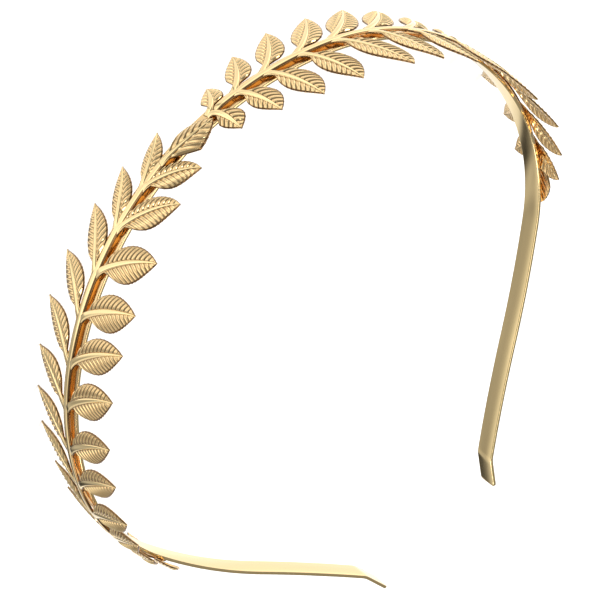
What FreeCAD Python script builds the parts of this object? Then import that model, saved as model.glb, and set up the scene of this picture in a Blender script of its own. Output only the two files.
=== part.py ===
import FreeCAD, Part
import math
import os
from FreeCAD import Placement, Vector

# A headband bent from flat metal strip, with two stamped laurel sprays on its outer face.
# It lies on its side: the bend is level, the middle of the band points to -Y and the two
# ends to +Y. The falling spray runs down the -X half and the rising spray up the +X half.

os.makedirs("parts", exist_ok=True)
doc = FreeCAD.newDocument("laurel_headband")

# Driving sizes, in millimetres. The place is the middle of the band from the point on the
# surface under the middle of the whole piece, so that the lowest leaf tips stand on it.
# The root is where a leaf's midrib leaves the stem, and bow_along and bow_out are shares of
# the way to its tip, for the point that bows the midrib. The midrib is never wider than
# rib_share of half the leaf, and has lost rib_fall of its height at the tip.
SIZES = (
    ("band_width", 5.5),
    ("band_thickness", 0.8),
    ("place_across", -4.89),
    ("place_along", -67.09),
    ("place_up", 16.06),
    ("corner_radius", 0.9),
    ("sheet_thickness", 0.45),
    ("stem_width", 2.2),
    ("stem_rise", 1.1),
    ("spray_gap", 0.06),
    ("rib_width", 1.0),
    ("rib_rise", 0.3),
    ("rib_share", 0.4),
    ("rib_fall", 0.7),
    ("leaf_cup", 0.5),
    ("leaf_clearance", 0.8),
    ("root_up", 0.8),
    ("root_rise", 0.85),
    ("bow_along", 0.66),
    ("bow_out", 0.42),
    ("bow_rise", 1.15),
    ("rising_foot", -122.5),
    ("rising_tip", -1.0),
    ("falling_foot", 0.6),
    ("falling_tip", 115.0),
    ("end_leaf_length", 12.5),
    ("end_leaf_width", 8.0),
    ("end_leaf_rise", 1.25),
    ("end_leaf_droop", 0.25),
    ("end_leaf_root", 1.5),
    ("rising_lean_root", 1.2),
    ("rising_lean_tip", 2.4),
    ("falling_lean", 0.8),
    ("stem_step", 3.0),
)
sheet = doc.addObject("Spreadsheet::Sheet", "sizes")
for line, (name, value) in enumerate(SIZES, start=1):
    sheet.set(f"A{line}", name)
    sheet.set(f"B{line}", str(value))
    sheet.setAlias(f"B{line}", name)
doc.recompute()


def size(name):
    """The value of one named cell of the sheet."""
    return float(sheet.get(name))


# The strip is bent in runs, counted from the middle of the band to each end: the length of
# the run, then the degrees it turns inwards on the falling half and on the rising half.
# The last two runs are the flared end.
BENDS = (
    (30.0, 23.0, 24.0),
    (30.0, 35.0, 22.5),
    (30.0, 35.0, 26.5),
    (30.0, 34.5, 41.5),
    (30.0, 5.0, 15.0),
    (30.0, -4.0, -3.0),
    (1.6, -18.0, -18.0),
    (7.2, 0.0, 0.0),
)
FALLING, RISING = 1, -1

# One row for each pair of leaves, from the foot of the spray to its tip: the place of the
# node on the band, how far along, out and up the lower leaf's tip lies from it, the same for
# the upper leaf, and the width of both.
RISING_PAIRS = (
    (-121.0, 2.5, 9.0, 0.4, 1.6, 10.5, -1.4, 5.5),
    (-115.0, 5.0, 12.0, 0.8, 5.3, 13.5, -1.2, 6.5),
    (-107.0, 5.8, 14.4, 0.6, 6.0, 16.0, -1.2, 7.2),
    (-98.5, 5.3, 14.4, 0.0, 5.5, 17.5, -1.0, 7.2),
    (-89.6, 6.5, 16.0, -0.2, 6.6, 17.0, -1.0, 6.6),
    (-80.5, 6.5, 15.9, -0.3, 7.0, 17.0, -0.5, 7.2),
    (-70.0, 6.1, 15.7, -0.3, 7.5, 17.0, -0.5, 7.9),
    (-60.0, 7.6, 15.8, -0.5, 8.0, 17.0, -0.5, 7.6),
    (-49.5, 7.9, 15.4, -0.8, 6.5, 17.0, -0.3, 8.0),
    (-39.5, 9.7, 13.3, -0.6, 8.0, 16.0, -0.4, 8.2),
    (-29.5, 9.5, 11.5, -0.2, 10.5, 12.5, 0.0, 7.2),
    (-19.5, 9.5, 9.5, -0.2, 9.0, 10.0, -0.2, 6.4),
)
FALLING_PAIRS = (
    (1.2, 2.6, 8.5, 0.0, 0.2, 9.3, -0.6, 6.0),
    (7.9, 5.2, 12.0, 0.6, 2.0, 12.5, -0.8, 6.8),
    (15.4, 7.2, 13.5, 0.8, 3.5, 15.0, -1.3, 7.4),
    (23.9, 8.5, 13.5, 0.6, 4.3, 15.8, -1.4, 7.8),
    (32.2, 9.7, 14.0, 0.6, 7.7, 17.5, -0.6, 8.0),
    (41.2, 9.9, 14.2, 0.4, 7.2, 16.0, -0.4, 8.0),
    (51.2, 9.5, 14.8, 0.2, 6.2, 16.0, 0.0, 8.0),
    (61.2, 9.0, 14.8, 0.6, 6.2, 16.0, 0.0, 8.0),
    (70.9, 8.5, 15.5, 1.5, 7.5, 15.5, 0.0, 7.0),
    (80.4, 8.0, 16.0, 2.4, 7.0, 16.5, 0.0, 6.2),
    (89.9, 8.0, 12.5, 2.4, 7.8, 12.5, 0.2, 5.8),
    (99.4, 6.0, 9.0, 1.5, 6.1, 9.5, 0.2, 5.6),
)
LOWER, UPPER = -1, 1

# The share of a midrib's length, each way, over which its heading is taken
HEADING_STEP = 0.01

# Lengths in millimetres that are closer than this are the same
SAME_LENGTH = 1e-3

# Half the width of a leaf along its midrib, as a share of its widest
LEAF_OUTLINE = (
    (0.0, 0.12),
    (0.15, 0.14),
    (0.33, 0.64),
    (0.5, 0.95),
    (0.66, 1.0),
    (0.84, 0.66),
    (1.0, 0.05),
)
# The half towards the spray's tip and the half towards its foot, as shares of that half width
RISING_HALVES = {LOWER: (0.9, 0.75), UPPER: (0.9, 1.05)}
FALLING_HALVES = {LOWER: (0.95, 0.85), UPPER: (1.05, 0.82)}

# The stem's section: the distance from its middle and the rise, as shares of half its width
# and of its rise
STEM_SECTION = ((-1.0, 0.0), (-0.8, 0.6), (-0.3, 0.97), (0.3, 0.97), (0.8, 0.6), (1.0, 0.0))


def on_strip(half, distance):
    """Point on the middle line of the strip and the angle turned, at a distance from its middle."""
    across = along = angle = 0.0
    for length, falling_turn, rising_turn in BENDS:
        run = min(distance, length)
        turn = math.radians(falling_turn if half == FALLING else rising_turn) * run / length
        chord = 2 * run / turn * math.sin(turn / 2) if turn else run
        across += chord * math.cos(angle + turn / 2)
        along += chord * math.sin(angle + turn / 2)
        angle += turn
        distance -= run
        if distance <= 0:
            break
    return across, along, angle


def on_band(place, rise, up):
    """Point over the band's outer face, at a place along it (falling half positive), as far
    above the face as rise and as far up from the band's middle line as up."""
    half = FALLING if place >= 0 else RISING
    across, along, angle = on_strip(half, abs(place))
    out = rise + size("band_thickness") / 2
    x = -half * (across + out * math.sin(angle))
    return Vector(x, along - out * math.cos(angle), up)


def edge_of_strip(half, out):
    """The strip's outer or inner edge on one half, as arcs and lines from its middle to its end."""
    def point(distance):
        across, along, angle = on_strip(half, distance)
        return Vector(-half * (across + out * math.sin(angle)), along - out * math.cos(angle), 0)

    pieces = []
    start = 0.0
    for length, falling_turn, rising_turn in BENDS:
        first, last = point(start), point(start + length)
        if falling_turn == 0.0:
            pieces.append(Part.LineSegment(first, last))
        else:
            pieces.append(Part.Arc(first, point(start + length / 2), last))
        start += length
    return pieces, point(start)


def resting_place():
    """Where every piece is set down, with the lowest leaf tips on the surface."""
    move = Vector(size("place_across"), size("place_along"), size("place_up"))
    return Placement(move, FreeCAD.Rotation())


def origin_plane(body, role):
    """The named plane of a body's own origin."""
    return next(feature for feature in body.Origin.OriginFeatures if feature.Role == role)


def make_headband():
    """The strip: its edge outline is drawn flat, padded to its width, and its ends are rounded."""
    body = doc.addObject("PartDesign::Body", "headband")
    body.Label = "headband"
    outline = body.newObject("Sketcher::SketchObject", "strip_outline")
    outline.AttachmentSupport = [(origin_plane(body, "XY_Plane"), "")]
    outline.MapMode = "FlatFace"
    for half in (FALLING, RISING):
        half_thickness = size("band_thickness") / 2
        outer, outer_end = edge_of_strip(half, half_thickness)
        inner, inner_end = edge_of_strip(half, -half_thickness)
        for piece in outer + inner + [Part.LineSegment(outer_end, inner_end)]:
            outline.addGeometry(piece, False)
    strip = body.newObject("PartDesign::Pad", "strip")
    strip.Profile = outline
    strip.Midplane = True
    strip.setExpression("Length", "sizes.band_width")
    doc.recompute()
    corners = [
        f"Edge{number}"
        for number, edge in enumerate(strip.Shape.Edges, start=1)
        if abs(edge.Length - size("band_thickness")) < SAME_LENGTH
    ]
    rounding = body.newObject("PartDesign::Fillet", "rounded_corners")
    rounding.Base = (strip, corners)
    rounding.setExpression("Radius", "sizes.corner_radius")
    body.Placement = resting_place()
    return body


def solid_from_rings(rings):
    """A closed faceted solid whose skin joins rings of points one to the next."""
    faces = []

    def add(*corners):
        if min(corners[i].distanceToPoint(corners[i - 1]) for i in range(3)) > SAME_LENGTH:
            faces.append(Part.Face(Part.makePolygon([*corners, corners[0]])))

    for ring, following in zip(rings, rings[1:]):
        for i in range(len(ring)):
            add(ring[i - 1], ring[i], following[i])
            add(ring[i - 1], following[i], following[i - 1])
    for ring, turned in ((rings[0], True), (rings[-1], False)):
        middle = sum(ring, Vector()) * (1 / len(ring))
        for i in range(len(ring)):
            add(*((middle, ring[i], ring[i - 1]) if turned else (middle, ring[i - 1], ring[i])))
    shell = Part.makeShell(faces)
    shell.sewShape()
    solid = Part.makeSolid(shell)
    if solid.Volume < 0:
        solid.reverse()
    return solid


def leaf(node, line, halves, width):
    """One leaf of thin sheet along a midrib line, which gives the place along the band, the
    distance up and the rise at a share of its length: cupped, with a raised midrib, and never
    sunk into the band where it crosses it."""
    sheet_thickness = size("sheet_thickness")
    rings = []
    for share, spread in LEAF_OUTLINE:
        place, up, rise = line(share)
        before = line(max(share - HEADING_STEP, 0))
        after = line(min(share + HEADING_STEP, 1))
        heading = math.atan2(after[1] - before[1], after[0] - before[0])
        reach = spread * width / 2
        cup = size("leaf_cup") * spread * spread
        rib = min(size("rib_width") / 2, reach * size("rib_share"))
        rib_rise = size("rib_rise") * (1 - size("rib_fall") * share)

        def point(side, lift, depth=0.0):
            point_up = up - side * math.cos(heading)
            top = rise + lift
            if abs(point_up) < size("band_width") / 2 + size("leaf_clearance"):
                top = max(top, size("spray_gap") + sheet_thickness)
            return on_band(node + place + side * math.sin(heading), top - depth, point_up)

        low_rim, high_rim = -reach * halves[0], reach * halves[1]
        rings.append([
            point(low_rim, -cup),
            point(-rib, 0),
            point(0, rib_rise),
            point(rib, 0),
            point(high_rim, -cup),
            point(high_rim, -cup, sheet_thickness),
            point(0, 0, sheet_thickness),
            point(low_rim, -cup, sheet_thickness),
        ])
    return solid_from_rings(rings)


def side_leaf(node, side, along, out, lift, width, halves):
    """One leaf of a pair, whose midrib is a bow with one control point, from the stem to its tip."""
    root_up, root_rise = size("root_up"), size("root_rise")
    control_up = root_up + (out - root_up) * size("bow_out")

    def line(share):
        first, middle, last = (1 - share) ** 2, 2 * share * (1 - share), share ** 2
        up = root_up * first + control_up * middle + out * last
        rise = root_rise * first + size("bow_rise") * middle + lift * last
        return along * (size("bow_along") * middle + last), side * up, rise

    # Seen along the midrib, the half towards the spray's tip changes hands with the side
    return leaf(node, line, halves if side == LOWER else halves[::-1], width)


def end_leaf(tip, lean):
    """The single leaf at the tip of a spray, which lies along the band and leans up."""
    length, droop = size("end_leaf_length"), size("end_leaf_droop")

    def line(share):
        up = lean[0] + (lean[1] - lean[0]) * share
        return length * share, up, size("end_leaf_rise") - droop * share

    return leaf(tip - length, line, (1.0, 1.0), size("end_leaf_width"))


def stem(foot, tip):
    """The half-round stem that the leaves spring from."""
    gap, rise, half_width = size("spray_gap"), size("stem_rise"), size("stem_width") / 2
    count = round(abs(tip - foot) / size("stem_step"))
    rings = []
    for step in range(count + 1):
        place = foot + (tip - foot) * step / count
        rings.append([on_band(place, gap + rise * r, half_width * w) for w, r in STEM_SECTION])
    return solid_from_rings(rings)


def make_spray(name, pairs, halves, foot, tip, lean):
    """A stamped spray: the stem, its pairs of leaves and the leaf at its tip are one solid."""
    stem_end = tip - size("end_leaf_length") + size("end_leaf_root")
    pieces = [stem(foot, stem_end), end_leaf(tip, lean)]
    for node, low_along, low_out, low_lift, up_along, up_out, up_lift, width in pairs:
        low_tip, up_tip = (low_along, low_out, low_lift), (up_along, up_out, up_lift)
        pieces.append(side_leaf(node, LOWER, *low_tip, width, halves[LOWER]))
        pieces.append(side_leaf(node, UPPER, *up_tip, width, halves[UPPER]))
    spray = doc.addObject("Part::Feature", name)
    spray.Label = name
    spray.Shape = pieces[0].multiFuse(pieces[1:])
    spray.Placement = resting_place()
    return spray


rising_ends = (size("rising_foot"), size("rising_tip"))
falling_ends = (size("falling_foot"), size("falling_tip"))
rising_lean = (size("rising_lean_root"), size("rising_lean_tip"))
falling_lean = (size("falling_lean"), size("falling_lean"))
parts = [
    make_headband(),
    make_spray("rising_spray", RISING_PAIRS, RISING_HALVES, *rising_ends, rising_lean),
    make_spray("falling_spray", FALLING_PAIRS, FALLING_HALVES, *falling_ends, falling_lean),
]
doc.recompute()

for feature in doc.Objects:
    if {"Invalid", "Error"} & set(feature.State):
        raise RuntimeError(f"{feature.Name} failed: {feature.State}")
for part in parts:
    if part.Shape.isNull() or not part.Shape.isValid():
        raise RuntimeError(f"{part.Label} has no valid shape")
    part.Shape.exportStep(f"parts/{part.Label}.step")
    box = part.Shape.BoundBox
    print(part.Label, len(part.Shape.Solids), round(part.Shape.Volume, 1), box)
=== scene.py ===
import math

import bpy
import numpy as np
from mathutils import Matrix, Vector


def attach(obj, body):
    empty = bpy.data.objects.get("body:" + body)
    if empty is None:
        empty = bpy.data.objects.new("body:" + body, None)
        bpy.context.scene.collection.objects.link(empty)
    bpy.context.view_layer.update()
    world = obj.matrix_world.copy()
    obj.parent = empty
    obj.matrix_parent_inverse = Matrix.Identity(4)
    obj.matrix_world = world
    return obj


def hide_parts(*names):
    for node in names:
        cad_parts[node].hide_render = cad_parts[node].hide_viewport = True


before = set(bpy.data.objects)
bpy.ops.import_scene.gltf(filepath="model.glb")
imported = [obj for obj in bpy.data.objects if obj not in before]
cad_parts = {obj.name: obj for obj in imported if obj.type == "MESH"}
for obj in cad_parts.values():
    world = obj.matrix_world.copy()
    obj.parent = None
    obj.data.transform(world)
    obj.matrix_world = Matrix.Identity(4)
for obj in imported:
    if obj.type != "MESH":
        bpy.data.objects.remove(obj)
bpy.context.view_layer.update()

# Headband
# One strip of spring metal, 5.5 mm wide, bent cold in runs and plated in pale gold. Its edges
# are rolled round and its two ends flare outwards, where they are cut off with round corners.
scene = bpy.context.scene
MM = 0.001
STRIP_WIDTH = 5.5
STRIP_THICKNESS = 0.8
STRIP_EDGE_RADIUS = 0.22
STRIP_CORNER_RADIUS = 0.9

# Distances from an end of the strip to the sections that round it off, then to the even ones
END_STEPS = np.array([0.0, 0.04, 0.1, 0.2, 0.35, 0.55, 0.75, 0.95])
EVEN_FROM = 1.4
STRIP_STEP = 0.8

# Each point carries a number that sets its colour and roughness: 0 is smooth pale gold, the
# strip's own colour and, on high parts of stem and leaves, a painted highlight; a half is a matt
# flat, painted a deeper gold as shade; and 1 is painted brown, as shade in a crease and as a
# dark painted reflection on the cut edges
POLISH_AND_HIGHLIGHT, MATT_AND_SHADE = 0.0, 0.5

# Between these places the strip's outer face lies under the sprays; it is matt there and painted
# a deeper gold as shade
MATT_SHADE_FROM, MATT_SHADE_TO = -122.0, 112.0

# Counted from the middle of the band: the length of each run, then the degrees it turns
# inwards on the falling half and on the rising half
BENDS = np.array(
    [
        (30.0, 23.0, 24.0),
        (30.0, 35.0, 22.5),
        (30.0, 35.0, 26.5),
        (30.0, 34.5, 41.5),
        (30.0, 5.0, 15.0),
        (30.0, -4.0, -3.0),
        (1.6, -18.0, -18.0),
        (7.2, 0.0, 0.0),
    ]
)
run_ends = np.cumsum(BENDS[:, 0])
stations = np.concatenate([-run_ends[::-1], [0.0], run_ends])
turned = np.radians(
    np.concatenate([-np.cumsum(BENDS[:, 2])[::-1], [0.0], np.cumsum(BENDS[:, 1])])
)

# The strip's middle line, added up from 3,000 short chords. A place on it is its length from
# the band's middle, positive on the falling half, and the middle lies at BAND_PLACE.
BAND_PLACE = (-4.89, -67.09, 16.06)
band_places = np.linspace(stations[0], stations[-1], 3001)
band_turns = np.interp(band_places, stations, turned)
chords = np.diff(band_places)
chord_turns = (band_turns[1:] + band_turns[:-1]) / 2
band_x = np.concatenate([[0.0], np.cumsum(-np.cos(chord_turns) * chords)])
band_y = np.concatenate([[0.0], np.cumsum(np.sin(chord_turns) * chords)])
band_x -= np.interp(0.0, band_places, band_x)
band_y -= np.interp(0.0, band_places, band_y)


def on_band(place, up, rise, relief):
    """Points in metres from sizes in millimetres: the place along the strip's middle line, the
    height above that line and the rise above the outer face. Each point is the line's own,
    moved along the line's outward normal by the rise and half the strip's thickness. Its
    fourth number is its painted light and roughness value."""
    turn = np.interp(place, stations, turned)
    out = rise + STRIP_THICKNESS / 2
    x = np.interp(place, band_places, band_x) - np.sin(turn) * out
    y = np.interp(place, band_places, band_y) - np.cos(turn) * out
    x, y, up, relief = np.broadcast_arrays(x, y, up, relief)
    points = (np.stack([x, y, up], axis=-1) + BAND_PLACE) * MM
    return np.concatenate([points, relief[..., None]], axis=-1)


def closed_skin(name, tubes):
    """A mesh of closed tubes. Each tube is rings of points, rows by columns by four, joined
    ring to ring by quads, with its first and last ring closed by a flat face. The fourth
    number of each point becomes an attribute of painted light and roughness."""
    verts, faces, start = [], [], 0
    for rings in tubes:
        rows, columns = rings.shape[:2]
        index = start + np.arange(rows * columns).reshape(rows, columns)
        beside = np.roll(index, -1, axis=1)
        quads = np.stack([index[:-1], beside[:-1], beside[1:], index[1:]], axis=-1)
        verts.append(rings.reshape(-1, 4))
        faces += quads.reshape(-1, 4).tolist()
        faces += [index[0, ::-1].tolist(), index[-1].tolist()]
        start += rows * columns
    verts = np.concatenate(verts)
    mesh = bpy.data.meshes.new(name)
    mesh.from_pydata(verts[:, :3], [], faces)
    relief = mesh.attributes.new("relief", "FLOAT", "POINT")
    relief.data.foreach_set("value", verts[:, 3])
    mesh.shade_smooth()
    mesh.update()
    piece = bpy.data.objects.new(name, mesh)
    scene.collection.objects.link(piece)
    return piece


def strip_rings():
    """The strip's section, a rectangle with its four edges rolled round, carried along the
    band. Near each end the half width is cut back by the corner's circle, and the section is
    thinned by the edge's circle. It runs backwards, so that the faces point outwards."""
    half_width, half_thick, edge = STRIP_WIDTH / 2, STRIP_THICKNESS / 2, STRIP_EDGE_RADIUS
    end = stations[-1]
    even = np.arange(-end + EVEN_FROM, end - EVEN_FROM, STRIP_STEP)
    place = np.concatenate([-end + END_STEPS, even, (end - END_STEPS)[::-1]])[:, None]
    from_end = end - np.abs(place)
    into_corner = np.clip(STRIP_CORNER_RADIUS - from_end, 0.0, STRIP_CORNER_RADIUS)
    narrowing = STRIP_CORNER_RADIUS - np.sqrt(STRIP_CORNER_RADIUS**2 - into_corner**2)
    into_edge = np.clip(edge - from_end, 0.0, edge)
    thinning = edge - np.sqrt(edge**2 - into_edge**2)

    # Five points round each of the four edges
    angle = np.radians(np.linspace(0.0, 90.0, 5))
    edge_up = np.concatenate([np.cos(angle), -np.sin(angle), -np.cos(angle), np.sin(angle)])
    edge_out = np.concatenate([np.sin(angle), np.cos(angle), -np.sin(angle), -np.cos(angle)])
    side_up = np.repeat([1, -1, -1, 1], 5)
    side_out = np.repeat([1, 1, -1, -1], 5)
    up = side_up * (half_width - edge) + edge * edge_up - side_up * narrowing
    out = (side_out * (half_thick - edge) + edge * edge_out) * (1 - thinning / half_thick)
    # Painted shade: under the sprays the outer face is painted a deeper gold, and it is matt
    # there
    shaded_under_spray = (place > MATT_SHADE_FROM) & (place < MATT_SHADE_TO) & (side_out > 0)
    relief = np.where(shaded_under_spray, MATT_AND_SHADE, POLISH_AND_HIGHLIGHT)
    return on_band(place, up, out - half_thick, relief)[:, ::-1]


class Wire:
    """An output of a node tree. Arithmetic on it adds Math nodes, and node adds any other."""

    def __init__(self, tree, socket=None):
        self.tree = tree
        self.socket = socket

    def node(self, kind, settings=None, sockets=None, output=0):
        """A node of a kind, its settings made first, then values or wires put in its sockets.
        The setting stops is a ramp's places and colours."""
        made = self.tree.nodes.new(kind)
        for name, value in (settings or {}).items():
            if name == "stops":
                stops = made.color_ramp.elements
                while len(stops) < len(value):
                    stops.new(1.0)
                for stop, (position, color) in zip(stops, value):
                    stop.position = position
                    stop.color = (*color, 1.0)
            else:
                setattr(made, name, value)
        for name, value in (sockets or {}).items():
            if isinstance(value, Wire):
                self.tree.links.new(value.socket, made.inputs[name])
            else:
                made.inputs[name].default_value = value
        return Wire(self.tree, made.outputs[output] if made.outputs else None)

    def math(self, operation, first, second=0.0):
        return self.node("ShaderNodeMath", {"operation": operation}, {0: first, 1: second})

    def __add__(self, other):
        return self.math("ADD", self, other)

    def __sub__(self, other):
        return self.math("SUBTRACT", self, other)

    def __rsub__(self, other):
        return self.math("SUBTRACT", other, self)

    def __mul__(self, other):
        return self.math("MULTIPLY", self, other)

    def __rmul__(self, other):
        return self.math("MULTIPLY", other, self)


# The gold is pale on the strip and, as a painted highlight, on high parts; it is painted deeper
# on the flats as shade, and brown as shade in creases and as a dark reflection on cut edges. A
# slow noise shifts its painted light by this tone and its roughness between two values.
GOLD_PALE = (1.0, 0.77, 0.395)
GOLD_DEEP = (0.9, 0.63, 0.31)
GOLD_BROWN = (0.24, 0.13, 0.05)
GOLD_STOPS = [(0.25, GOLD_PALE), (0.45, GOLD_DEEP), (0.58, GOLD_DEEP), (0.85, GOLD_BROWN)]
WANDER_SCALE = 90.0
WANDER_TONE = 0.15

# What a fine grain adds to the roughness and to the ripple, and the flats to the roughness
GRAIN_SCALE = 900.0
GRAIN_ROUGHNESS = 0.03
GRAIN_RIPPLE = 0.1
MATT_ROUGHNESS = 0.05


def plated_gold(name, dull, bright, ripple, stretch):
    """Pale gold plate. Its roughness is dull times the slow noise plus bright times the rest,
    plus the grain's and the flats' share. The noises also bend its reflections, as a ripple so
    many metres high. The stretch scales the axes that the noises are laid along."""
    material = bpy.data.materials.new(name)
    material.use_nodes = True
    material.node_tree.nodes.clear()
    wires = Wire(material.node_tree)
    place = wires.node("ShaderNodeTexCoord", output="Object")
    stretched = wires.node("ShaderNodeMapping", sockets={"Vector": place, "Scale": stretch})
    wander = wires.node(
        "ShaderNodeTexNoise",
        sockets={"Vector": stretched, "Scale": WANDER_SCALE, "Detail": 4.0},
    )
    grain = wires.node(
        "ShaderNodeTexNoise",
        sockets={"Vector": stretched, "Scale": GRAIN_SCALE, "Detail": 2.0},
    )
    relief = wires.node("ShaderNodeAttribute", {"attribute_name": "relief"}, output="Fac")
    polish = dull * wander + bright * (1 - wander) + GRAIN_ROUGHNESS * grain
    flatness = wires.math("MINIMUM", relief * 2, 1.0)
    # Painted light: the ramp paints pale highlights, deeper shade on flats and brown shade in
    # creases and on cut edges, plus a random tone from the slow noise
    color = wires.node(
        "ShaderNodeValToRGB",
        {"stops": GOLD_STOPS},
        {"Fac": relief + WANDER_TONE * (wander - 0.5)},
    )
    bent = wires.node(
        "ShaderNodeBump",
        sockets={"Strength": 1.0, "Distance": ripple, "Height": wander + GRAIN_RIPPLE * grain},
    )
    shader = wires.node(
        "ShaderNodeBsdfPrincipled",
        sockets={
            "Base Color": color,
            "Metallic": 1.0,
            "Roughness": polish + MATT_ROUGHNESS * flatness,
            "Normal": bent,
        },
    )
    wires.node("ShaderNodeOutputMaterial", sockets={"Surface": shader})
    return material


headband = closed_skin("gold_headband", [strip_rings()])
strip_gold = plated_gold(
    "strip_gold", dull=0.12, bright=0.08, ripple=0.000004, stretch=(1.0, 1.0, 0.3)
)
headband.data.materials.append(strip_gold)
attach(headband, "root")
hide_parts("headband")

# Laurel sprays
# Two sprays stamped from thin sheet and plated like the band: a ribbon of a stem, leaves in
# pairs whose midribs run out of it, and one leaf at the tip. They are fixed on the strip's
# outer face by spot joints that don't show.
SHEET = 0.38
LOWER, UPPER = -1, 1

# The stem is a thin arch. Its section, as shares of half its width and of its rise, is half of
# its top from the edge in, then its underside from edge to edge. A curve is given by the shares
# of a length, then its value at each. The stem settles onto the strip over a stretch at each
# end, by a share of its rise.
STEM_HALF_WIDTH = 1.1
STEM_RISE = 1.16
STEM_TOP = np.array([(1.0, 0.66), (0.92, 0.82), (0.68, 0.94), (0.3, 1.0)])
STEM_UNDER = np.array([(-0.94, 0.46), (-0.45, 0.64), (0.45, 0.64), (0.94, 0.46)])
# Across its width from the middle out, the stem's top is painted pale as a highlight and its
# edges brown as shade
STEM_HIGHLIGHT_AND_SHADE = ((0.45, 0.68, 0.92, 1.0), (0.0, 0.35, 0.95, 1.0))
STEM_STEP = 0.8
STEM_SETTLES = 0.4
STEM_SETTLES_OVER = 3.0


def stem_rings(foot, tip):
    """The stem's section, carried along the band and lowered near each end by the square of
    how far into that stretch it is. It runs backwards, so that the faces point outwards."""
    section = np.concatenate([STEM_TOP, (STEM_TOP * (-1, 1))[::-1], STEM_UNDER])
    place = np.linspace(foot, tip, round((tip - foot) / STEM_STEP))[:, None]
    from_end = np.minimum(place - foot, tip - place)
    into_end = np.clip(1 - from_end / STEM_SETTLES_OVER, 0.0, 1.0)
    settle = STEM_SETTLES * STEM_RISE * into_end**2
    # Painted light across the section: a highlight along the top, shade at the edges, and a
    # deeper gold painted as shade on the matt underside
    relief = np.interp(np.abs(section[:, 0]), *STEM_HIGHLIGHT_AND_SHADE)
    relief[-len(STEM_UNDER) :] = MATT_AND_SHADE
    up, rise = STEM_HALF_WIDTH * section[:, 0], STEM_RISE * section[:, 1] - settle
    return on_band(place, up, rise, relief)[:, ::-1]


def bow(controls):
    """A cubic curve with four control points, each of which weighs by its binomial share."""
    t = np.linspace(0.0, 1.0, 60)[:, None]
    weights = [(1 - t) ** 3, 3 * t * (1 - t) ** 2, 3 * t**2 * (1 - t), t**3]
    return np.concatenate(weights, axis=1) @ np.array(controls)


# A blade's outline is sought this far out. Near its foot it is raised to this power.
FARTHEST_OUT = 6.0
FOOT_POWER = 0.75


def blade_edge(along, half_width, slant, start, whole, belly, tip_power):
    """How far the blade reaches out along each side rib. The outline is half the width times
    the sine of pi times the share of the blade's length to the power belly, itself to a power
    that goes from the foot's to the tip's. The rib ends where it first crosses the outline."""
    out = np.linspace(0.0, FARTHEST_OUT, 161)[None, :]
    share = np.clip((along + slant * out - start) / (whole - start), 0.0, 1.0)
    power = FOOT_POWER + (tip_power - FOOT_POWER) * share
    inside = half_width * np.sin(math.pi * share**belly) ** power - out
    last = np.maximum(np.argmax(inside < 0, axis=1)[:, None] - 1, 0)
    here = np.take_along_axis(inside, last, axis=1)
    beyond = np.take_along_axis(inside, last + 1, axis=1)
    return out[0, last] + (out[0, 1] - out[0, 0]) * np.clip(here / (here - beyond), 0.0, 1.0)


# The first side rib stands this far past the bare stalk, and the last at least this far from
# the tip. One more row lies near the tip. Across each rib there are rows at these distances
# from it, and one half a pitch on.
RIB_START = 0.45
RIB_END = 0.5
TIP_ROW = 0.2
ACROSS_RIB = (-0.36, -0.22, -0.11, 0.0, 0.11, 0.22, 0.34, 0.46)


def leaf_rows(whole, blade_start, pitch):
    """Where a leaf's rows start on its midrib, as a column, and where its side ribs do. There
    are nine rows on the bare stalk, nine to each rib and two at the tip."""
    ribs = np.arange(blade_start + RIB_START, whole - RIB_END, pitch)
    stalk = np.linspace(0.0, blade_start, 10)[:-1]
    blade = (ribs[:, None] + np.array([*ACROSS_RIB, pitch / 2])).ravel()
    rows = np.concatenate([stalk, blade, [whole - TIP_ROW, whole]])
    return np.unique(np.minimum(rows, whole))[:, None], ribs


def bumps(along, places, width):
    """A bump at each place: e to the power of minus the square of the distance from the
    nearest place over the width."""
    distance = np.min(np.abs(along - places), axis=1, keepdims=True)
    return np.exp(-((distance / width) ** 2))


# The midrib has a flat top: half its width and its height along the leaf, then for four points
# from its middle out, their shares of that half width and of that height, and their painted
# light, a highlight on the top and brown shade at the edge
MIDRIB_HALF_WIDTH = ((0.0, 0.2, 0.5, 1.0), (1.0, 0.75, 0.6, 0.12))
MIDRIB_HEIGHT = ((0.0, 0.15, 1.0), (0.1, 0.36, 0.16))
MIDRIB_OUT = np.array([[0.0, 0.45, 0.8, 1.0]])
MIDRIB_TOP = np.array([[1.0, 0.95, 0.75, 0.0]])
MIDRIB_HIGHLIGHT_AND_SHADE = np.array([[0.0, 0.0, 0.1, 0.95]])

# The blade's nine points, as shares of its width from midrib to rim, and its least width. It is
# cupped over the leaf's width, domed between midrib and rim where it is wide enough, and its
# rim is turned up and painted brown, as a dark reflection along the edge.
BLADE_OUT = np.array([[0.06, 0.16, 0.3, 0.45, 0.6, 0.75, 0.88, 0.95, 1.0]])
LEAST_BLADE = 0.02
LEAF_CUP = 0.5
LEAF_DOME = 0.3
FULL_DOME_FROM = 2.5
RIM_RISE = 0.1
RIM_WIDTH = 0.16
RIM_SHADE = ((0.88, 0.95, 1.0), (0.0, 0.75, 1.0))

# Each side rib's size, the share by which it pushes out the rim, and a line of brown painted
# shade beside it, a crease that the sheet's shape doesn't have; the rib's top is painted pale as
# a highlight. Ribs fade towards midrib and rim, and where the blade is narrow.
RIB_WIDTH = 0.21
RIB_HEIGHT = 0.22
RIB_AT_RIM = 0.02
RIB_STRENGTH = ((0.0, 0.06, 0.9, 1.0), (0.0, 1.0, 0.8, 0.0))
FULL_RIB_FROM = 1.2
CREASE_SHADE_PLACE = 0.35
CREASE_SHADE_WIDTH = 0.14
CREASE_SHADE = 0.45


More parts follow.
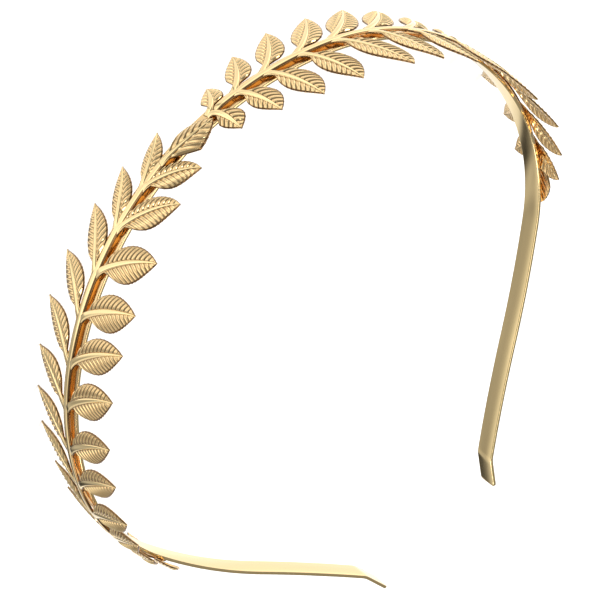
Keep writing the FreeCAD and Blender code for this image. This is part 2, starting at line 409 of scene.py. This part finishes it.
def leaf_half(along, ribs, whole, blade_start, width, half):
    """Half of a leaf, from the middle of its midrib to its rim: each point's distance out, its
    distance along, its height and its painted light. The distance along is the row's own plus
    the slant times the distance out. The height adds side ribs, a turned rim and a dome, which
    is four times the share across times the rest, to a cup that falls with the square of the
    distance out."""
    half_share, belly, tip_power, slant = half
    half_width = half_share * width / 2
    ridge = bumps(along, ribs, RIB_WIDTH)
    crease_shade = bumps(along, ribs + CREASE_SHADE_PLACE, CREASE_SHADE_WIDTH)
    midrib_half = np.interp(along / whole, *MIDRIB_HALF_WIDTH)
    edge = blade_edge(along, half_width, slant, blade_start, whole, belly, tip_power)
    blade = (np.maximum(edge - midrib_half, 0.0) + LEAST_BLADE) * (1 + RIB_AT_RIM * ridge)
    out = np.concatenate([midrib_half * MIDRIB_OUT, midrib_half + BLADE_OUT * blade], axis=1)
    slanted = along + slant * np.maximum(out - midrib_half, 0.0)

    midrib_lift = np.interp(along / whole, *MIDRIB_HEIGHT) * MIDRIB_TOP
    strength = np.clip(blade / FULL_RIB_FROM, 0.0, 1.0) * np.interp(BLADE_OUT, *RIB_STRENGTH)
    dome = 4 * BLADE_OUT * (1 - BLADE_OUT) * np.clip(blade / FULL_DOME_FROM, 0.0, 1.0)
    rim = np.exp(-(((1 - BLADE_OUT) * blade / RIM_WIDTH) ** 2))
    blade_lift = RIB_HEIGHT * ridge * strength + LEAF_DOME * dome + RIM_RISE * rim
    cup = LEAF_CUP * (out / (width / 2)) ** 2
    lift = np.concatenate([midrib_lift, blade_lift], axis=1) - cup

    # Painted light: pale highlights on the midrib's top and the ribs, a deeper gold as shade on
    # the flats, brown shade in the crease lines and a dark painted reflection on the rim
    midrib_painted_light = np.broadcast_to(MIDRIB_HIGHLIGHT_AND_SHADE, midrib_lift.shape)
    blade_painted_light = MATT_AND_SHADE + strength * (CREASE_SHADE * crease_shade - MATT_AND_SHADE * ridge)
    blade_painted_light = np.maximum(blade_painted_light, np.interp(BLADE_OUT, *RIM_SHADE))
    relief = np.concatenate([midrib_painted_light, blade_painted_light], axis=1)
    return np.stack([out, slanted, lift, relief])


# How far the cut edge of the sheet stands out past the rims above and below it
EDGE_BULGE = 0.08


def closed_below(top, left=0.0, under=0.0, right=0.0):
    """The values round a section: over its top from the right rim to the left one, then at the
    left edge, back under every second point of the top, and at the right edge. Those below are
    the top's own plus a step."""
    left_edge = top[:, -1:] + left
    right_edge = top[:, :1] + right
    return np.concatenate([top, left_edge, top[:, ::-2] + under, right_edge], axis=1)


def leaf_rings(midrib, width, side, halves, blade_start, pitch):
    """One leaf as a closed tube. Its rows follow the side ribs, and its underside is its top
    one sheet lower. Each point is the midrib's own at its distance along, moved square to the
    midrib's heading by its distance out, and raised by its height."""
    steps = np.diff(midrib, axis=0)
    lengths = np.concatenate([[0.0], np.cumsum(np.linalg.norm(steps, axis=1))])
    whole = lengths[-1]
    headings = np.unwrap(np.arctan2(np.gradient(midrib[:, 1]), np.gradient(midrib[:, 0])))
    rows, ribs = leaf_rows(whole, blade_start, pitch)
    tipward, footward = [
        leaf_half(rows, ribs, whole, blade_start, width, half) for half in halves
    ]

    # Seen along the midrib, a lower leaf has the half towards the spray's tip on its left
    left, right = (tipward, footward) if side == LOWER else (footward, tipward)
    mirrored = right[..., :0:-1] * np.array([-1, 1, 1, 1])[:, None, None]
    out, along, lift, relief = np.concatenate([mirrored, left], axis=2)
    top_columns = out.shape[1]
    out = closed_below(out, left=EDGE_BULGE, right=-EDGE_BULGE)
    along = closed_below(np.minimum(along, whole))
    lift = closed_below(lift, left=-SHEET / 2, under=-SHEET, right=-SHEET / 2)
    relief = closed_below(relief)
    # Painted shade: the underside is matt and painted a deeper gold
    relief[:, top_columns + 1 : -1] = MATT_AND_SHADE

    heading = np.interp(along, lengths, headings)
    place = np.interp(along, lengths, midrib[:, 0]) - np.sin(heading) * out
    up = np.interp(along, lengths, midrib[:, 1]) + np.cos(heading) * out
    rise = np.interp(along, lengths, midrib[:, 2]) + lift
    return on_band(place, up, rise, relief)


# A side leaf's midrib is a bow from inside the stem. Each control point is a distance along
# and out from the node, and a rise over the strip. The third is these shares of the tip's
# three, plus these lengths. The bare stalk grows by this share of the tip's distance out.
STALK_START = (-2.5, 0.1, STEM_RISE - 0.45)
STALK_BEND = (0.3, 0.5, STEM_RISE + 0.16)
BOW_SHARES = (0.77, 0.61, 0.33)
BOW_LENGTHS = (0.0, 0.042, 0.759)
BARE_STALK = 2.0
BARE_STALK_SHARE = 0.15
RIB_PITCH = 1.35


def side_leaf(node, side, tip, width, halves):
    """A leaf of a pair, whose midrib leaves the stem along it and bows outwards to its tip."""
    controls = np.array([STALK_START, STALK_BEND, BOW_SHARES * np.array(tip) + BOW_LENGTHS, tip])
    midrib = bow(controls * (1, side, 1) + (node, 0, 0))
    blade_start = BARE_STALK + BARE_STALK_SHARE * tip[1]
    return leaf_rings(midrib, width, side, halves[side], blade_start, RIB_PITCH)


# The end leaf's midrib is a bow too. Each control point is how far back from the tip it lies,
# its shares of how far the root and the tip lean up, and its rise.
END_LEAF_BOW = (
    (14.0, 0.3, 0.0, STEM_RISE - 0.05),
    (9.0, 1.0, 0.0, 1.3),
    (4.0, 0.0, 0.9, 1.2),
    (0.0, 0.0, 1.0, 1.0),
)
END_LEAF_WIDTH = 8.0
END_LEAF_STALK = 2.5
END_RIB_PITCH = 1.9

# The half of a leaf towards the spray's tip and the half towards its foot: its share of half
# the width, how near the foot it is widest, how straight it runs to the tip, and how far its
# side ribs slant towards the leaf's tip for each millimetre out
END_LEAF_HALVES = ((1.2, 1.0, 0.6, 1.4), (0.95, 1.05, 0.65, 1.4))
RISING_HALVES = {
    LOWER: ((0.82, 0.72, 1.0, 0.85), (0.68, 0.8, 0.95, 1.05)),
    UPPER: ((0.88, 0.85, 0.8, 0.85), (1.08, 1.0, 0.72, 1.05)),
}
FALLING_HALVES = {
    LOWER: ((0.88, 0.8, 0.9, 0.85), (0.8, 0.8, 0.9, 1.05)),
    UPPER: ((1.08, 1.0, 0.75, 0.85), (0.78, 0.85, 0.85, 1.05)),
}


def end_leaf(tip, lean):
    """The single leaf at a spray's tip, which runs on from the stem."""
    controls = [
        (tip - back, root_share * lean[0] + tip_share * lean[1], rise)
        for back, root_share, tip_share, rise in END_LEAF_BOW
    ]
    return leaf_rings(
        bow(controls), END_LEAF_WIDTH, LOWER, END_LEAF_HALVES, END_LEAF_STALK, END_RIB_PITCH
    )


# A row for each pair of leaves: the node's place, the lower leaf's tip as distances along and
# out from the node and a rise over the strip, the upper leaf's tip, and the width of both
RISING_PAIRS = (
    (-121.0, 2.5, 9.0, 0.4, 1.6, 10.5, -1.4, 5.5),
    (-115.0, 5.0, 12.0, 0.8, 5.3, 13.5, -1.2, 6.5),
    (-107.0, 5.8, 14.4, 0.6, 6.0, 16.0, -1.2, 7.2),
    (-98.5, 5.3, 14.4, 0.0, 5.5, 17.5, -1.0, 7.2),
    (-89.6, 6.5, 16.0, -0.2, 6.6, 17.0, -1.0, 6.6),
    (-80.5, 6.5, 15.9, -0.3, 7.0, 17.0, -0.5, 7.2),
    (-70.0, 6.1, 15.7, -0.3, 7.5, 17.0, -0.5, 7.9),
    (-60.0, 7.6, 15.8, -0.5, 8.0, 17.0, -0.5, 7.6),
    (-49.5, 7.9, 15.4, -0.8, 6.5, 17.0, -0.3, 8.0),
    (-39.5, 9.7, 13.3, -0.6, 8.0, 16.0, -0.4, 8.2),
    (-29.5, 9.5, 11.5, -0.2, 10.5, 12.5, 0.0, 7.2),
    (-19.5, 9.5, 9.5, -0.2, 9.0, 10.0, -0.2, 6.4),
)
FALLING_PAIRS = (
    (1.2, 2.6, 8.5, 0.0, 0.2, 9.3, -0.6, 6.0),
    (7.9, 5.2, 12.0, 0.6, 2.0, 12.5, -0.8, 6.8),
    (15.4, 7.2, 13.5, 0.8, 3.5, 15.0, -1.3, 7.4),
    (23.9, 8.5, 13.5, 0.6, 4.3, 15.8, -1.4, 7.8),
    (32.2, 9.7, 14.0, 0.6, 7.7, 17.5, -0.6, 8.0),
    (41.2, 9.9, 14.2, 0.4, 7.2, 16.0, -0.4, 8.0),
    (51.2, 9.5, 14.8, 0.2, 6.2, 16.0, 0.0, 8.0),
    (61.2, 9.0, 14.8, 0.6, 6.2, 16.0, 0.0, 8.0),
    (70.9, 8.5, 15.5, 1.5, 7.5, 15.5, 0.0, 7.0),
    (80.4, 8.0, 16.0, 2.4, 7.0, 16.5, 0.0, 6.2),
    (89.9, 8.0, 12.5, 2.4, 7.8, 12.5, 0.2, 5.8),
    (99.4, 6.0, 9.0, 1.5, 6.1, 9.5, 0.2, 5.6),
)

# How far short of the spray's tip its stem ends, under the end leaf
STEM_SHORT_OF_TIP = 10.0


def spray(name, pairs, halves, foot, tip, lean):
    """The stem, the end leaf and each pair of leaves, as one piece."""
    tubes = [stem_rings(foot, tip - STEM_SHORT_OF_TIP), end_leaf(tip, lean)]
    for node, low_along, low_out, low_rise, up_along, up_out, up_rise, width in pairs:
        tubes.append(side_leaf(node, LOWER, (low_along, low_out, low_rise), width, halves))
        tubes.append(side_leaf(node, UPPER, (up_along, up_out, up_rise), width, halves))
    return closed_skin(name, tubes)


leaf_gold = plated_gold(
    "leaf_gold", dull=0.12, bright=0.05, ripple=0.00001, stretch=(1.0, 1.0, 1.0)
)

# Each spray's name, pairs and halves, the places of its foot and its tip, and how far up its
# end leaf's midrib leans at its root and at its tip
for name, pairs, halves, foot, tip, lean in (
    ("gold_rising_spray", RISING_PAIRS, RISING_HALVES, -122.5, -1.0, (1.2, 2.4)),
    ("gold_falling_spray", FALLING_PAIRS, FALLING_HALVES, 0.2, 115.0, (0.8, 0.8)),
):
    piece = spray(name, pairs, halves, foot, tip, lean)
    piece.data.materials.append(leaf_gold)
    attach(piece, "root")
    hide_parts(name.removeprefix("gold_"))

# Floor
# A sheet of matt white paper, wide enough to fill every view. The gold doesn't mirror it and it
# throws no light back, because the studio's cards stand for all that surrounds the crown.
FLOOR_HALF = 3
PAPER_WHITE = (0.97, 0.97, 0.97, 1)
CORNERS = ((-1, -1), (1, -1), (1, 1), (-1, 1))
floor_mesh = bpy.data.meshes.new("floor")
floor_mesh.from_pydata(
    [(x * FLOOR_HALF, y * FLOOR_HALF, 0) for x, y in CORNERS], [], [(0, 1, 2, 3)]
)
floor = bpy.data.objects.new("floor", floor_mesh)
scene.collection.objects.link(floor)
paper = bpy.data.materials.new("white_paper")
paper.use_nodes = True
paper_shader = paper.node_tree.nodes["Principled BSDF"]
paper_shader.inputs["Base Color"].default_value = PAPER_WHITE
paper_shader.inputs["Roughness"].default_value = 0.9
floor.data.materials.append(paper)
floor.visible_glossy = False
floor.visible_diffuse = False

# Light
# A white studio with bright and dark cards all round it, which the gold mirrors, and four soft
# boxes. The cards stand low, are brighter where they rise, and fade into a dim ceiling.

# For each direction in degrees round the crown, from +X towards +Y, how bright its card is
CARDS = (
    (0, 0.52),
    (12, 0.66),
    (25, 0.5),
    (33, 0.16),
    (48, 0.13),
    (55, 0.95),
    (70, 1.3),
    (104, 1.35),
    (116, 1.5),
    (156, 1.5),
    (200, 1.35),
    (222, 1.2),
    (255, 1.3),
    (259, 0.5),
    (263, 0.5),
    (267, 1.3),
    (290, 1.3),
    (305, 1.45),
    (332, 1.5),
    (345, 0.52),
    (360, 0.52),
)

# A ramp's colours stop at 1, so it holds the cards as shares of this
RAMP_TOP = 1.6

# A soft noise breaks up the cards: the scale of its pattern, and its strength
CLUTTER_SCALE = 3.5
CLUTTER = 0.6

# Between two heights, from -1 straight down to 0 at the horizon, the cards gain this light,
# and between two more they fade into the ceiling. Nothing is darker than the last value.
GAIN_FROM, GAIN_TO, GAIN = -0.68, -0.54, 0.6
CEILING_FROM, CEILING_TO, CEILING = -0.5, -0.1, 0.34
DARKEST = 0.02

# The paper is lit by a plain white, a little brighter than the one that the camera sees
PAPER_LIGHT = 1.05


def smooth_step(value, low, high, top):
    """Rises smoothly from 0 to a top value as the wire goes from low to high."""
    return value.node(
        "ShaderNodeMapRange",
        {"interpolation_type": "SMOOTHSTEP"},
        {"Value": value, "From Min": low, "From Max": high, "To Min": 0.0, "To Max": top},
    )


def card_light(studio):
    """How bright the surroundings are in each direction, as the gold mirrors them."""
    direction = studio.node("ShaderNodeTexCoord", output="Generated")
    x, y, height = [
        studio.node("ShaderNodeSeparateXYZ", sockets={"Vector": direction}, output=axis)
        for axis in "XYZ"
    ]
    clutter = studio.node(
        "ShaderNodeTexNoise",
        sockets={"Vector": direction, "Scale": CLUTTER_SCALE, "Detail": 1.0},
    )
    share_round = studio.math("FRACT", studio.math("ARCTAN2", y, x) * (1 / math.tau))
    cards = studio.node(
        "ShaderNodeValToRGB",
        {"stops": [(degrees / 360, [level / RAMP_TOP] * 3) for degrees, level in CARDS]},
        {"Fac": share_round},
    )
    gain = smooth_step(height, GAIN_FROM, GAIN_TO, GAIN)
    low = cards * RAMP_TOP + CLUTTER * (clutter - 0.5) + gain
    ceiling = smooth_step(height, CEILING_FROM, CEILING_TO, 1.0)
    return studio.math("MAXIMUM", low * (1 - ceiling) + CEILING * ceiling, DARKEST)


def softbox(name, place, width, height, power):
    """A rectangular area light at a place, turned to face the crown."""
    data = bpy.data.lights.new(name, "AREA")
    data.shape = "RECTANGLE"
    data.size, data.size_y = width, height
    data.energy = power
    lamp = bpy.data.objects.new(name, data)
    to_crown = Vector() - Vector(place)
    lamp.location = place
    lamp.rotation_euler = to_crown.to_track_quat("-Z", "Y").to_euler()
    scene.collection.objects.link(lamp)


scene.view_settings.view_transform = "Standard"
world = bpy.data.worlds.new("studio")
world.use_nodes = True
world.node_tree.nodes.clear()
studio = Wire(world.node_tree)
seen = studio.node("ShaderNodeLightPath", output="Is Camera Ray")
soft = studio.node("ShaderNodeLightPath", output="Is Diffuse Ray")
strength = seen + soft * PAPER_LIGHT + (1 - seen - soft) * card_light(studio)
sky = studio.node("ShaderNodeBackground", sockets={"Strength": strength})
studio.node("ShaderNodeOutputWorld", sockets={"Surface": sky})
scene.world = world

# Each soft box's place in metres, then its width, its height and its power in watts
softbox("top_box", (0.0, 0.1, 1.1), 0.9, 0.9, 6.0)
softbox("left_box", (-0.9, -0.3, 0.6), 0.4, 0.7, 4.0)
softbox("front_box", (0.35, -0.85, 0.65), 0.5, 0.3, 2.0)
softbox("right_box", (0.95, 0.3, 0.5), 0.3, 0.6, 3.0)

# Camera
# It looks down on the crown from the front, rolled so that the band's middle is at the top.
# Its place and the directions to its right, up and back come from the crown's outline.
CAMERA_PLACE = (0.088549, -0.351352, 0.418844)
CAMERA_RIGHT = (-0.734793, 0.434097, 0.521191)
CAMERA_UP = (-0.658421, -0.641104, -0.394293)
CAMERA_BACK = (0.162976, -0.632887, 0.756897)
camera_data = bpy.data.cameras.new("camera")
camera_data.sensor_width = 36.0
camera_data.lens = 144.9
camera_data.clip_start = 0.01
camera = bpy.data.objects.new("camera", camera_data)
camera_turn = Matrix((CAMERA_RIGHT, CAMERA_UP, CAMERA_BACK)).transposed().to_4x4()
camera.matrix_world = Matrix.Translation(CAMERA_PLACE) @ camera_turn
scene.collection.objects.link(camera)
scene.camera = camera
